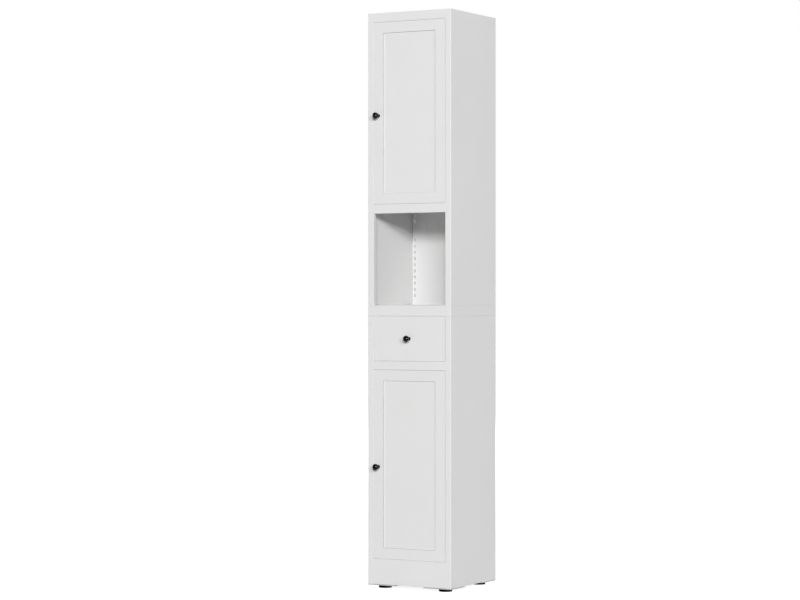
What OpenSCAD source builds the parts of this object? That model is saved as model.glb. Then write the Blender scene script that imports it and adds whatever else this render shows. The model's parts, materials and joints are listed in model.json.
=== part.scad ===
// Tall two-part cabinet in folded sheet steel: upper cupboard, open niche, drawer and lower cupboard.
// The front looks along -Y, X runs to the right and Z up. The floor is Z = 0, and the origin is
// under the centre of the whole outline, knobs included.

/* [Body] */
// Width over the two sides
body_w = 295; // [250:1:380]
// Depth from the front face to the rear face
body_d = 302; // [280:1:380]
// Thickness of the steel sheet
sheet_t = 1; // [0.8:0.1:1.2]
// Inner radius of a sheet bend
bend_r = 0.5; // [0.3:0.1:0.8]
// Width of the stiles beside the doors
stile_w = 20; // [18:0.5:26]
// Depth of the flange turned in round each front opening
return_d = 15; // [12:0.5:16]
// Height of the lips that close a folded edge
lip_h = 8; // [6:0.5:10]
// How far the back panel lies in front of the rear face
back_inset = 19; // [15:0.5:24]
// Width of the flange turned in along each rear edge
rear_flange = 20; // [18:0.5:24]
// Height of the flanges that fix a deck to the walls
deck_flange_h = 18; // [14:0.5:22]
// Width of the tabs that the stacked parts stand on
tab_w = 14; // [13:0.5:18]

/* [Front heights] */
// Rail above the upper door
top_rail_h = 29; // [24:0.5:40]
// Upper door
upper_door_h = 568; // [450:1:650]
// Rail between the upper door and the niche
header_h = 29; // [24:0.5:40]
// Niche, from the joint of the two parts to the rail above
niche_h = 288; // [200:1:400]
// Cap that closes the lower part
cap_h = 32.5; // [26:0.5:40]
// Drawer front
drawer_h = 139.5; // [110:0.5:180]
// Rail between the drawer and the lower door
rail_h = 27.5; // [24:0.5:40]
// Lower door
lower_door_h = 590; // [450:1:650]
// Apron below the lower door
apron_h = 80.5; // [40:0.5:120]

/* [Doors and drawer front] */
// Thickness of the folded doors and the drawer front
door_t = 15; // [13:0.5:15]
// Gap above and below the doors and the drawer front
reveal = 0.5; // [0.4:0.1:1.5]
// Gap beside the doors and the drawer front
side_gap = 0.8; // [0.8:0.1:2]
// Width of the lips round the inside of a door
door_lip = 13; // [12.5:0.5:18]
// Width of the plain frame round a door's pressed recess
frame_w = 34; // [28:0.5:44]
// Depth of the pressed recess
recess_d = 4; // [2:0.5:5]
// Run of the recess's sloping edge
recess_slope = 1.5; // [0.5:0.5:4]
// Width of the crown of the stiffener inside a door
stiffener_w = 50; // [30:1:80]
// Clear length above and below the stiffener
stiffener_end = 30; // [20:1:60]

/* [Hinges] */
// Radius of the hinge pins
pin_r = 2; // [1.5:0.1:2]
// Distance of a pin's axis from the door's right edge
hinge_inset = 15; // [12:0.5:18]
// Distance of a pin's axis behind the front face
hinge_back = 5; // [4.8:0.1:5.5]
// Length of a pin that stands in the door
pin_reach = 8; // [6:0.5:10]
// Radial play of a pin in its block
pin_play = 0.06; // [0.03:0.01:0.1]

/* [Knobs] */
// Diameter of a knob's ball
knob_d = 19; // [14:0.5:24]
// Distance that a knob stands out
knob_l = 28; // [22:0.5:40]
// Length of the ball along its axis
knob_ball_l = 17; // [12:0.5:20]
// Radius of the knob's neck
knob_neck_r = 4; // [3.5:0.1:6]
// How far a door's knob is below the middle of the door
knob_drop = 8; // [0:0.5:60]

/* [Shelves] */
// Pitch of the slots for the shelf brackets
slot_pitch = 20; // [18:1:32]
// Height of a slot
slot_h = 9.5; // [8:0.5:12]
// Width of a slot
slot_w = 4; // [3:0.5:6]
// Distance from the wall to the middle of the slots
slot_inset = 10; // [8:0.5:14]
// Height of the lowest slot's middle above the foot of each part
slot_start = 31; // [20:1:60]
// Number of slots below the two that hold an upper bracket
upper_shelf_slot_count = 28; // [24:1:34]
// Number of slots below the two that hold a lower bracket
lower_shelf_slot_count = 16; // [10:1:22]
// Clear space between a shelf and the front face
shelf_front = 34; // [30:1:60]
// Height of a shelf's front edge
shelf_edge_h = 18; // [14:0.5:24]

/* [Drawer] */
// Height of the drawer's tray
tray_h = 100; // [70:1:105]
// Height of a runner
runner_h = 35; // [32:0.5:45]
// Thickness of a runner
runner_t = 12; // [12:0.5:14]
// Radius of the runner's balls
ball_r = 2; // [1.8:0.1:2.2]
// Number of balls in one row
ball_count = 6; // [4:1:8]
// Distance from ball to ball
ball_pitch = 12; // [10:0.5:14]

/* [Feet] */
// Height of a foot's pad
foot_h = 10; // [8:0.5:14]
// Radius of a foot's pad
foot_r = 20.5; // [15:0.5:24]
// Distance of a foot's axis from the two faces at its corner
foot_inset = 40; // [30:0.5:46]
// Radius of a foot's threaded stem
stem_r = 4; // [3:0.5:5]
// Thickness of a corner plate
plate_t = 3; // [2:0.5:5]
// Width of a corner plate along the front
plate_w = 96; // [80:1:110]
// Length of a corner plate along the side
plate_l = 92; // [80:1:110]

/* [Hidden] */

// Fits and cutting
seat = 0.2;
running = 0.3;
overrun = 1;
bend_steps = 4;
knob_steps = 16;
round_fn = 48;

// Fasteners
screw_r = 2;
screw_play = 0.15;
screw_head_r = 3.8;
screw_head_h = 2.2;
screw_tail = 4;
rear_screw_end = 60;
bolt_r = 3;
bolt_head_r = 6;
bolt_head_h = 3;
bolt_tail = 8;
bolt_nut_w = 10;
bolt_nut_h = 5;
knob_bore = 10;
knob_foot_share = 1.5;
knob_flange_share = 0.3;
knob_cone_share = 0.9;
foot_nut_w = 13;
foot_nut_h = 6.5;
foot_edge = 1.5;
foot_shoulder = 2;
stem_tail = 8;
stem_point = 1;
thread_play = 0.06;

// Levels of the front, from the floor
z_plate = foot_h;
z_body = z_plate + plate_t;
stem_top = z_body + foot_nut_h + stem_tail;
z_deck = z_body + apron_h;
z_lower_door = z_deck + reveal;
z_rail = z_lower_door + lower_door_h + reveal;
z_rail_top = z_rail + rail_h;
z_drawer = z_rail_top + reveal;
z_cap = z_drawer + drawer_h + reveal;
z_seam = z_cap + cap_h;
z_header = z_seam + niche_h;
z_header_top = z_header + header_h;
z_upper_door = z_header_top + reveal;
z_top_rail = z_upper_door + upper_door_h + reveal;
z_top = z_top_rail + top_rail_h;

// Places across and into the body, from its middle and its front face
half_w = body_w / 2;
wall_x = half_w - sheet_t;
open_w = body_w - 2 * stile_w;
back_y = body_d - back_inset;
inner_front_y = return_d + seat;
inner_back_y = back_y - seat;
rear_proud = screw_head_h;
front_y = (knob_l - body_d - rear_proud) / 2;

// Doors
door_w = open_w - 2 * side_gap;
door_x = -door_w / 2;
hinge_x = door_w / 2 - hinge_inset;
pin_head_r = hinge_back - sheet_t - bend_r;
pin_head_h = 1.5;
pin_hole_r = pin_r + 2 * running;
block_w = 24;
block_roof = 5;
knob_x = door_x + frame_w / 2;

// Slots
slot_x = wall_x - slot_inset;
hook_t = 2;
hook_neck_h = 6;
hook_drop = 3;
bracket_sole = 5;
bracket_nose_h = 14;
bracket_flange_w = 12;
shelf_half_w = wall_x - 2 * sheet_t;
shelf_rear_half_w = slot_x - bracket_flange_w - running;

// Drawer runners and tray
runner_level_share = 0.42;
runner_start = 5;
runner_end = 12;
runner_behind = 1.5;
lip_room = 0.4;
runner_y = return_d + runner_start;
runner_l = back_y - runner_end - runner_y;
runner_x = open_w / 2 + runner_behind;
runner_z = z_drawer + drawer_h * runner_level_share;
runner_sheet_t = 1.2;
race_play = 0.05;
ball_z = runner_h / 2 - runner_sheet_t - race_play - ball_r;
ball_x = runner_t / 2;
lip_grip = 0.6;
flange_end = ball_x + ball_r + lip_room + runner_sheet_t;
inner_end = runner_t - flange_end;
cage_t = 0.6;
cage_l = ball_pitch * ball_count;
cage_y = runner_y + (runner_l - cage_l) / 2;
tray_w = 2 * (runner_x - runner_t - seat);
tray_l = runner_y + runner_l - door_t;
tray_floor = 13;
tray_z = z_drawer + tray_floor;
tray_hem = 8;
tray_plate_inset = 3.5;
drawer_screw_x = 80;
hat_foot = 9;
hat_rim = 4;
hat_h = runner_h + 2 * hat_rim;

// Catches
catch_w = 42;
catch_body_w = 26;
catch_d = 13;
catch_h = 11.5;
catch_ear_h = 3;
catch_x = -open_w / 4;
catch_screw_x = (catch_w + catch_body_w) / 4;
magnet_w = 22;
magnet_h = 6;
magnet_d = 7;
pole_t = 1.2;

// Joints between the stacked parts
join_x = wall_x - tab_w / 2;
join_ys = [inner_front_y + plate_l / 3, inner_back_y - plate_l / 3];

function unit(a) = [cos(a), sin(a)];
function left_of(a) = [-sin(a), cos(a)];
function heading(p, q) = atan2(q[1] - p[1], q[0] - p[0]);
function turned(d) = d > 180 ? d - 360 : d < -180 ? d + 360 : d;
function backwards(v) = [for (k = [len(v) - 1:-1:0]) v[k]];

// One bend of a sheet, on the drawn face (side 0) or on the other face (side 1)
function bend(pts, i, t, r, side) =
    let (a = heading(pts[i - 1], pts[i]), b = turned(heading(pts[i], pts[i + 1]) - a), s = sign(b),
        drawn_r = r + (b > 0 ? t : 0),
        centre = pts[i] - unit(a) * drawn_r * tan(abs(b) / 2) + left_of(a) * s * drawn_r,
        arc_r = drawn_r - s * t * side)
    [for (k = [0:bend_steps]) centre - left_of(a + b * k / bend_steps) * s * arc_r];

// Outline of a sheet folded along the points of one face, with the metal to the left of the path
function folded_outline(pts, t, r) = let (n = len(pts) - 1) concat(
    [pts[0]],
    [for (i = [1:n - 1]) each bend(pts, i, t, r, 0)],
    [pts[n], pts[n] + left_of(heading(pts[n - 1], pts[n])) * t],
    [for (i = [n - 1:-1:1]) each backwards(bend(pts, i, t, r, 1))],
    [pts[0] + left_of(heading(pts[0], pts[1])) * t]);

// Quarter round that starts at heading a, and rectangles with two or four corners rounded by it.
// The front of a rectangle is the line y = 0
function quarter(centre, a, r) = [for (k = [0:bend_steps]) centre - left_of(a + 90 * k / bend_steps) * r];
function front_rounded(w, d, r) = concat(quarter([r, r], -90, r), quarter([w - r, r], 0, r),
    [[w, d], [0, d]]);
function all_rounded(w, d, r) = concat(quarter([r, r], -90, r), quarter([w - r, r], 0, r),
    quarter([w - r, d - r], 90, r), quarter([r, d - r], 180, r));

module folded(pts, t = sheet_t, r = bend_r) polygon(folded_outline(pts, t, r));

// A section drawn in Y and Z, run along X, and one drawn in X and Z, run along Y
module along_x(l) rotate([90, 0, 90]) linear_extrude(l) children();
module along_y(l) translate([0, l, 0]) rotate([90, 0, 0]) linear_extrude(l) children();

// Everything is laid out from the front face, and this moves it to the part's own origin
module placed() translate([0, front_y, 0]) children();
module both_sides() for (s = [0, 1]) mirror([s, 0, 0]) children();

// Block with its front edges rounded
module soft_box(size, r) intersection() {
    linear_extrude(size[2]) polygon(front_rounded(size[0], size[1], r));
    along_x(size[0]) polygon([for (p = front_rounded(size[2], size[1], r)) [p[1], p[0]]]);
}

// Radius of a screw's tip as a share of its shank, and outline of a pan head as shares of its size
tip_share = 0.8;
head_shares = [[1, 0], [1, 0.4], [0.8, 0.85], [0.45, 1], [0, 1]];

// Pan-head screw along -Z from the underside of its head
module screw(r, l, head_r, head_h) rotate_extrude($fn = round_fn)
    polygon(concat([[0, -l], [r * tip_share, -l], [r, r * (1 - tip_share) - l], [r, 0]],
        [for (p = head_shares) [p[0] * head_r, p[1] * head_h]]));

module nut(w, h, bore_r) difference() {
    cylinder(h = h, r = w / sqrt(3), $fn = 6);
    translate([0, 0, -overrun]) cylinder(h = h + 2 * overrun, r = bore_r, $fn = round_fn);
}

// Left wall with its stile and rear flange. Zones are [foot, head, has a return at the opening]
module side_wall(zones) for (z = zones) translate([0, 0, z[0]]) linear_extrude(z[1] - z[0])
    folded(concat([[-half_w + rear_flange, body_d], [-half_w, body_d], [-half_w, 0], [stile_w - half_w, 0]],
        z[2] ? [[stile_w - half_w, return_d]] : []));

// Tab along the foot or the head of the left wall
module side_tab(z) translate([-half_w + sheet_t / 2, inner_front_y, z])
    cube([tab_w + sheet_t / 2, inner_back_y - inner_front_y, sheet_t]);

// Through holes at the four joints of the stacked parts, in whatever lies between two levels
module join_holes(z0, z1, r) both_sides() for (y = join_ys) translate([join_x, y, z0])
    cylinder(h = z1 - z0, r = r, $fn = round_fn);

upper_screw_levels = [z_seam + rear_screw_end, (z_seam + z_top) / 2, z_top - rear_screw_end];
lower_screw_levels = [z_body + rear_screw_end, (z_body + z_cap) / 2, z_cap - rear_screw_end];

module rear_screw_holes(levels) for (z = levels)
    translate([-half_w + rear_flange / 2, body_d - back_inset / 2, z]) rotate([-90, 0, 0])
        cylinder(h = back_inset, r = screw_r + screw_play, $fn = round_fn);

module upper_side() color("whitesmoke") difference() {
    union() {
        side_wall([[z_seam, z_header, true], [z_header, z_header_top, false],
            [z_header_top, z_top_rail, true], [z_top_rail, z_top - sheet_t, false]]);
        side_tab(z_seam);
    }
    rear_screw_holes(upper_screw_levels);
    join_holes(z_seam - overrun, z_seam + cap_h, bolt_r + screw_play);
}

module lower_side() color("whitesmoke") difference() {
    union() {
        side_wall([[z_body, z_deck, false], [z_deck, z_rail, true], [z_rail, z_rail_top, false],
            [z_rail_top, z_cap, true]]);
        side_tab(z_cap - sheet_t);
        side_tab(z_body);
    }
    rear_screw_holes(lower_screw_levels);
    join_holes(z_cap - cap_h, z_cap + overrun, screw_r + screw_play);
}

module upper_left_side() placed() upper_side();
module upper_right_side() placed() mirror([1, 0, 0]) upper_side();
module lower_left_side() placed() lower_side();
module lower_right_side() placed() mirror([1, 0, 0]) lower_side();

// Back panel: a wide channel that opens to the rear, with two columns of bracket slots
module back_panel(z0, z1, levels) {
    x = wall_x - seat;
    rear = body_d - sheet_t - seat;
    slots = floor((z1 - z0 - slot_start - slot_h) / slot_pitch);
    difference() {
        translate([0, 0, z0]) linear_extrude(z1 - z0)
            folded([[-x + rear_flange - lip_h / 2, rear], [-x, rear], [-x, back_y], [x, back_y], [x, rear],
                [x - rear_flange + lip_h / 2, rear]]);
        both_sides() for (k = [0:slots])
            translate([slot_x - slot_w / 2, back_y - overrun, z0 + slot_start + k * slot_pitch - slot_h / 2])
                cube([slot_w, sheet_t + 2 * overrun, slot_h]);
        both_sides() rear_screw_holes(levels);
    }
}

module upper_back() color("whitesmoke") placed() back_panel(z_seam, z_top - sheet_t, upper_screw_levels);
module lower_back() color("whitesmoke") placed() back_panel(z_body, z_cap, lower_screw_levels);

// Flanges that hang from a deck along the walls and the back
module deck_flanges(z) {
    x = wall_x - seat;
    for (s = [-x, x - sheet_t]) translate([s, inner_front_y, z - deck_flange_h])
        cube([sheet_t, inner_back_y - inner_front_y, deck_flange_h]);
    translate([-x, inner_back_y - sheet_t, z - deck_flange_h]) cube([2 * x, sheet_t, deck_flange_h]);
}

// Deck from wall to wall, with a rail folded down at the front
module deck(z, rail) {
    x = wall_x - seat;
    translate([-open_w / 2, 0, z]) along_x(open_w)
        folded([[return_d + deck_flange_h, 0], [0, 0], [0, -rail], [return_d, -rail],
            [return_d, lip_h - rail]]);
    translate([-x, inner_front_y, z - sheet_t]) cube([2 * x, inner_back_y - inner_front_y, sheet_t]);
    deck_flanges(z);
}

module pin_hole(z, r = pin_r + pin_play) translate([hinge_x, hinge_back, z - overrun])
    cylinder(h = sheet_t + 2 * overrun, r = r, $fn = round_fn);

module catch_holes(z) at_catch(z) for (x = [-catch_screw_x, catch_screw_x])
    translate([x, 0, -sheet_t - overrun])
        cylinder(h = sheet_t + catch_h, r = screw_r + screw_play, $fn = round_fn);

module niche_header() color("whitesmoke") placed() difference() {
    deck(z_header_top, header_h);
    pin_hole(z_header_top - sheet_t);
    catch_holes(z_header_top);
}

module base_panel() color("whitesmoke") placed() difference() {
    deck(z_deck, apron_h);
    pin_hole(z_deck - sheet_t);
    catch_holes(z_deck);
}

module drawer_divider() color("whitesmoke") placed() difference() {
    deck(z_rail_top, rail_h);
    pin_hole(z_rail);
}

// Lid of the upper part, with the top rail folded down between the stiles
module top_panel() color("whitesmoke") placed() difference() {
    union() {
        translate([-half_w, 0, z_top - sheet_t]) linear_extrude(sheet_t) difference() {
            polygon(all_rounded(body_w, body_d, sheet_t + bend_r));
            translate([stile_w, -overrun]) square([open_w, overrun + return_d]);
        }
        translate([-open_w / 2, 0, z_top]) along_x(open_w)
            folded([[return_d + lip_h, 0], [0, 0], [0, -top_rail_h], [return_d, -top_rail_h],
                [return_d, lip_h - top_rail_h]]);
        deck_flanges(z_top - sheet_t / 2);
    }
    pin_hole(z_top_rail);
}

// Floor of the niche, with a hemmed front edge
module niche_floor() color("whitesmoke") placed() difference() {
    union() {
        translate([seat - wall_x, inner_front_y, z_seam + sheet_t])
            cube([2 * (wall_x - seat), inner_back_y - inner_front_y, sheet_t]);
        translate([-open_w / 2, 0, z_seam]) along_x(open_w) polygon(concat(
            quarter([sheet_t, sheet_t], -180, sheet_t), quarter([sheet_t, sheet_t], -90, sheet_t),
            [[return_d, 0], [return_d, sheet_t], [inner_front_y + seat, sheet_t],
                [inner_front_y + seat, 2 * sheet_t]]));
    }
    join_holes(z_seam, z_seam + cap_h, bolt_r + screw_play);
}

// Cap of the lower part: a closed lid with skirts on all four sides
module lower_cap() color("whitesmoke") placed() difference() {
    translate([-half_w, 0, z_cap]) linear_extrude(cap_h)
        polygon(all_rounded(body_w, body_d, sheet_t + bend_r));
    translate([-wall_x, sheet_t, z_cap + sheet_t])
        cube([2 * wall_x, body_d - 2 * sheet_t, cap_h - 2 * sheet_t]);
    translate([tab_w - wall_x, return_d, z_cap - overrun])
        cube([2 * (wall_x - tab_w), body_d - 2 * return_d, sheet_t + 2 * overrun]);
    join_holes(z_cap - overrun, z_cap + cap_h / 2, screw_r + screw_play);
    join_holes(z_cap + cap_h / 2, z_seam + overrun, bolt_r + screw_play);
}

// Corner plates, weld nuts and levelling feet
module at_corner(right, rear) translate([(right ? 1 : -1) * half_w, rear ? body_d : 0, 0])
    mirror([right ? 1 : 0, 0, 0]) mirror([0, rear ? 1 : 0, 0]) children();

module foot_plate(right, rear) color("gainsboro") placed() at_corner(right, rear)
    translate([seat, seat, z_plate]) difference() {
        linear_extrude(plate_t) difference() {
            square([plate_w, plate_l]);
            translate([plate_w, plate_l]) rotate(45)
                square([2 * plate_t, plate_w + plate_l], center = true);
        }
        translate([foot_inset - seat, foot_inset - seat, -overrun])
            cylinder(h = plate_t + 2 * overrun, r = stem_r + thread_play, $fn = round_fn);
    }

module front_left_foot_plate() foot_plate(false, false);
module front_right_foot_plate() foot_plate(true, false);
module rear_left_foot_plate() foot_plate(false, true);
module rear_right_foot_plate() foot_plate(true, true);

module foot_nuts() color("silver") placed() for (right = [false, true], rear = [false, true])
    at_corner(right, rear) translate([foot_inset, foot_inset, z_body])
        nut(foot_nut_w, foot_nut_h, stem_r + thread_play);

module foot(right, rear) color("dimgray") placed() at_corner(right, rear)
    translate([foot_inset, foot_inset, 0]) rotate_extrude($fn = round_fn * 2)
        polygon([[0, 0], [foot_r - foot_edge, 0], [foot_r, foot_edge], [foot_r, foot_h - foot_shoulder],
            [foot_r - foot_shoulder, foot_h], [stem_r, foot_h], [stem_r, stem_top - stem_point],
            [stem_r - stem_point, stem_top], [0, stem_top]]);

module front_left_foot() foot(false, false);
module front_right_foot() foot(true, false);
module rear_left_foot() foot(false, true);
module rear_right_foot() foot(true, true);

// Hinge pins, riveted in the rails with their heads on the hidden side
module hinge_pin(z, up) translate([hinge_x, hinge_back, z]) mirror([0, 0, up ? 0 : 1])
    rotate_extrude($fn = round_fn) polygon([[0, -sheet_t - pin_head_h],
        [pin_head_r - bend_r, -sheet_t - pin_head_h], [pin_head_r, bend_r - sheet_t - pin_head_h],
        [pin_head_r, -sheet_t], [pin_r, -sheet_t], [pin_r, pin_reach + reveal - bend_r],
        [pin_r - bend_r, pin_reach + reveal], [0, pin_reach + reveal]]);

module upper_hinge_pins() color("silver") placed() {
    hinge_pin(z_header_top, true);
    hinge_pin(z_top_rail, false);
}

module lower_hinge_pins() color("silver") placed() {
    hinge_pin(z_deck, true);
    hinge_pin(z_rail, false);
}

// Door and drawer fronts. The pressed recess is one frustum for the hollow and a larger one for the metal
module recess(h, grow) intersection() {
    linear_extrude(h) polygon(recess_outline(door_w, grow));
    along_x(door_w) polygon([for (p = recess_outline(h, grow)) [p[1], p[0]]]);
}

function recess_outline(w, grow) = [
    [frame_w - grow, -overrun], [frame_w - grow, 0],
    [frame_w + recess_slope - grow, recess_d + grow], [w - frame_w - recess_slope + grow, recess_d + grow],
    [w - frame_w + grow, 0], [w - frame_w + grow, -overrun]];

module knob_hole(x, z) translate([x, -overrun, z]) rotate([-90, 0, 0])
    cylinder(h = sheet_t + 2 * overrun, r = screw_r + screw_play, $fn = round_fn);

module front_pan(h, recessed) difference() {
    soft_box([door_w, door_t, h], sheet_t + bend_r);
    if (recessed) recess(h, 0);
    difference() {
        translate([sheet_t, sheet_t, sheet_t])
            soft_box([door_w - 2 * sheet_t, door_t - 2 * sheet_t, h - 2 * sheet_t], bend_r);
        if (recessed) recess(h, sheet_t);
    }
    translate([door_lip, door_t - sheet_t - overrun, door_lip])
        cube([door_w - 2 * door_lip, sheet_t + 2 * overrun, h - 2 * door_lip]);
}

module door(h, z) color("white") placed() difference() {
    translate([door_x, 0, z]) front_pan(h, true);
    pin_hole(z, pin_hole_r);
    pin_hole(z + h - sheet_t, pin_hole_r);
    knob_hole(knob_x, z + h / 2 - knob_drop);
}

module stiffener(h, z) color("white") placed()
    translate([0, 0, z + frame_w + stiffener_end]) linear_extrude(h - 2 * (frame_w + stiffener_end))
        folded([[-stiffener_w / 2 - hat_foot, recess_d + sheet_t], [-stiffener_w / 2, recess_d + sheet_t],
            [-stiffener_w / 2, door_t - 2 * sheet_t], [stiffener_w / 2, door_t - 2 * sheet_t],
            [stiffener_w / 2, recess_d + sheet_t], [stiffener_w / 2 + hat_foot, recess_d + sheet_t]]);

// Bearing block in a door's corner, on the inside of the folded edge
module hinge_block(z, up) translate([0, 0, z]) mirror([0, 0, up ? 0 : 1]) difference() {
    translate([door_w / 2 - sheet_t - seat - block_w, sheet_t + bend_r, sheet_t])
        cube([block_w, door_t - 2 * sheet_t - bend_r - seat, pin_reach + block_roof]);
    translate([hinge_x, hinge_back, 0])
        cylinder(h = pin_reach + running, r = pin_r + pin_play, $fn = round_fn);
}

module hinge_blocks(h, z) color("dimgray") placed() {
    hinge_block(z, true);
    hinge_block(z + h, false);
}

module knob(x, z) color("black") placed() translate([x, 0, z]) rotate([90, 0, 0]) {
    ball_mid = knob_l - knob_ball_l / 2;
    neck_a = acos(2 * knob_neck_r / knob_d);
    rotate_extrude($fn = 2 * round_fn) polygon(concat(
        [[screw_r + thread_play, 0], [knob_foot_share * knob_neck_r, 0],
            [knob_foot_share * knob_neck_r, knob_flange_share * knob_neck_r],
            [knob_neck_r, knob_cone_share * knob_neck_r]],
        [for (k = [0:knob_steps]) let (a = -neck_a + (90 + neck_a) * k / knob_steps)
            [k == knob_steps ? 0 : knob_d / 2 * cos(a), ball_mid + knob_ball_l / 2 * sin(a)]],
        [[0, knob_bore], [screw_r + thread_play, knob_bore]]));
}

module knob_screw(x, z) color("silver") placed() translate([x, sheet_t, z]) rotate([-90, 0, 0])
    screw(screw_r, sheet_t + knob_bore - running, screw_head_r, screw_head_h);

module upper_door() door(upper_door_h, z_upper_door);
module upper_door_stiffener() stiffener(upper_door_h, z_upper_door);
module upper_door_hinge_blocks() hinge_blocks(upper_door_h, z_upper_door);
module upper_door_knob() knob(knob_x, z_upper_door + upper_door_h / 2 - knob_drop);
module upper_door_knob_screw() knob_screw(knob_x, z_upper_door + upper_door_h / 2 - knob_drop);
module lower_door() door(lower_door_h, z_lower_door);
module lower_door_stiffener() stiffener(lower_door_h, z_lower_door);
module lower_door_hinge_blocks() hinge_blocks(lower_door_h, z_lower_door);
module lower_door_knob() knob(knob_x, z_lower_door + lower_door_h / 2 - knob_drop);
module lower_door_knob_screw() knob_screw(knob_x, z_lower_door + lower_door_h / 2 - knob_drop);

// Magnetic catches, which stand on the decks behind the doors' lower lips
module at_catch(z) translate([catch_x, door_t + running + catch_d / 2, z]) children();

module catch_housing() difference() {
    union() {
        translate([-catch_w / 2, -catch_d / 2, 0]) cube([catch_w, catch_d, catch_ear_h]);
        translate([-catch_body_w / 2, -catch_d / 2, 0]) cube([catch_body_w, catch_d, catch_h]);
    }
    translate([-magnet_w / 2 - seat, -catch_d / 2 - overrun, (catch_h - magnet_h) / 2 - seat])
        cube([magnet_w + 2 * seat, magnet_d + overrun + seat, magnet_h + 2 * seat]);
}

module catch_magnet() translate([-magnet_w / 2, -catch_d / 2, (catch_h - magnet_h) / 2]) difference() {
    cube([magnet_w, magnet_d, magnet_h]);
    translate([-overrun, -overrun, pole_t])
        cube([magnet_w + 2 * overrun, overrun + pole_t, magnet_h - 2 * pole_t]);
}

module catch_housings() color("gainsboro") placed() difference() {
    for (z = [z_header_top, z_deck]) at_catch(z) catch_housing();
    for (z = [z_header_top, z_deck]) catch_holes(z + sheet_t);
}

module catch_magnets() color("dimgray") placed() for (z = [z_header_top, z_deck]) at_catch(z) catch_magnet();

// Shelf brackets hook into two slots, and the shelf lies on them
function slot_foot(z0, k) = z0 + slot_start + k * slot_pitch - slot_h / 2;
function shelf_seat(z0, k) = slot_foot(z0, k + 1) + slot_h + bend_r;
function hook(z) = let (y = back_y + sheet_t + seat) [[back_y - seat, z], [y, z], [y, z - hook_drop],
    [y + hook_t, z - hook_drop], [y + hook_t, z + hook_neck_h], [back_y - seat, z + hook_neck_h]];

module shelf_brackets(z0, k) color("whitesmoke") placed() both_sides() {
    top = shelf_seat(z0, k);
    nose = shelf_front + sheet_t + bend_r;
    rear = back_y - seat;
    foot = slot_foot(z0, k) - bracket_sole;
    translate([slot_x - hook_t / 2, 0, 0]) along_x(hook_t) polygon(concat(
        [[nose, top], [nose, top - bracket_nose_h], [rear - slot_pitch, foot], [rear, foot]],
        hook(slot_foot(z0, k)), hook(slot_foot(z0, k + 1)), [[rear, top]]));
    translate([slot_x - bracket_flange_w, nose, top - hook_t]) cube([bracket_flange_w, rear - nose, hook_t]);
}

module shelf(z0, k) color("whitesmoke") placed() {
    top = shelf_seat(z0, k) + sheet_t;
    rear = back_y - seat;
    translate([-shelf_half_w, 0, top]) along_x(2 * shelf_half_w)
        folded([[rear, 0], [shelf_front, 0], [shelf_front, -shelf_edge_h],
            [shelf_front + lip_h, -shelf_edge_h]]);
    translate([-shelf_rear_half_w, 0, top]) along_x(2 * shelf_rear_half_w)
        folded([[rear, -shelf_edge_h], [rear, 0], [rear - lip_h, 0]]);
    for (x = [-shelf_half_w, shelf_half_w - sheet_t])
        translate([x, shelf_front + sheet_t + bend_r, top - shelf_edge_h])
            cube([sheet_t, rear - shelf_front - sheet_t - bend_r, shelf_edge_h - sheet_t / 2]);
}

module upper_shelf() shelf(z_seam, upper_shelf_slot_count);
module upper_shelf_brackets() shelf_brackets(z_seam, upper_shelf_slot_count);
module lower_shelf() shelf(z_body, lower_shelf_slot_count);
module lower_shelf_brackets() shelf_brackets(z_body, lower_shelf_slot_count);

// Drawer
module drawer_front() color("white") placed() difference() {
    translate([door_x, 0, z_drawer]) front_pan(drawer_h, false);
    knob_hole(0, z_drawer + drawer_h / 2);
    drawer_screw_places() cylinder(h = 2 * door_t, r = screw_r + screw_play, center = true, $fn = round_fn);
}

// The four screws that hold the tray's front plate to the lips of the drawer front
module drawer_screw_places() for (x = [-drawer_screw_x, drawer_screw_x],
    z = [door_lip / 2, drawer_h - door_lip / 2])
    translate([x, door_t + sheet_t, z_drawer + z]) rotate([-90, 0, 0]) children();

module drawer_tray() color("gainsboro") placed() difference() {
    union() {
        translate([tray_plate_inset + door_x, door_t, z_drawer + tray_plate_inset])
            cube([door_w - 2 * tray_plate_inset, sheet_t, drawer_h - 2 * tray_plate_inset]);
        translate([-tray_w / 2, door_t, tray_z]) cube([tray_w, tray_l, tray_h]);
    }
    translate([sheet_t - tray_w / 2, door_t + sheet_t, tray_z + sheet_t])
        cube([tray_w - 2 * sheet_t, tray_l - 2 * sheet_t, tray_h - sheet_t - tray_hem]);
    translate([2 * sheet_t - tray_w / 2, door_t + sheet_t, tray_z + 2 * sheet_t])
        cube([tray_w - 4 * sheet_t, tray_l - 3 * sheet_t, tray_h]);
    drawer_screw_places() cylinder(h = 4 * sheet_t, r = screw_r + screw_play, center = true, $fn = round_fn);
}

module drawer_knob() knob(0, z_drawer + drawer_h / 2);
module drawer_knob_screw() knob_screw(0, z_drawer + drawer_h / 2);
module drawer_screws() color("silver") placed() drawer_screw_places()
    screw(screw_r, sheet_t + screw_tail, screw_head_r, screw_head_h);

// Ball runners. A section is drawn from the outer member's back, and runs to the rear
module at_runner(y) translate([-runner_x, y, runner_z]) children();

module runner_outer() color("silver") placed() at_runner(runner_y) along_y(runner_l) {
    h = runner_h / 2;
    folded([[flange_end, ball_z + lip_grip], [flange_end, h], [0, h], [0, -h], [flange_end, -h],
        [flange_end, -ball_z - lip_grip]], runner_sheet_t);
}

module runner_inner() color("silver") placed() at_runner(runner_y) along_y(runner_l) {
    h = ball_z - ball_r - race_play - runner_sheet_t;
    web = runner_t - runner_sheet_t;
    folded([[inner_end, ball_z - lip_grip], [inner_end, h], [web, h], [web, -h], [inner_end, -h],
        [inner_end, lip_grip - ball_z]], runner_sheet_t);
}

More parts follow.
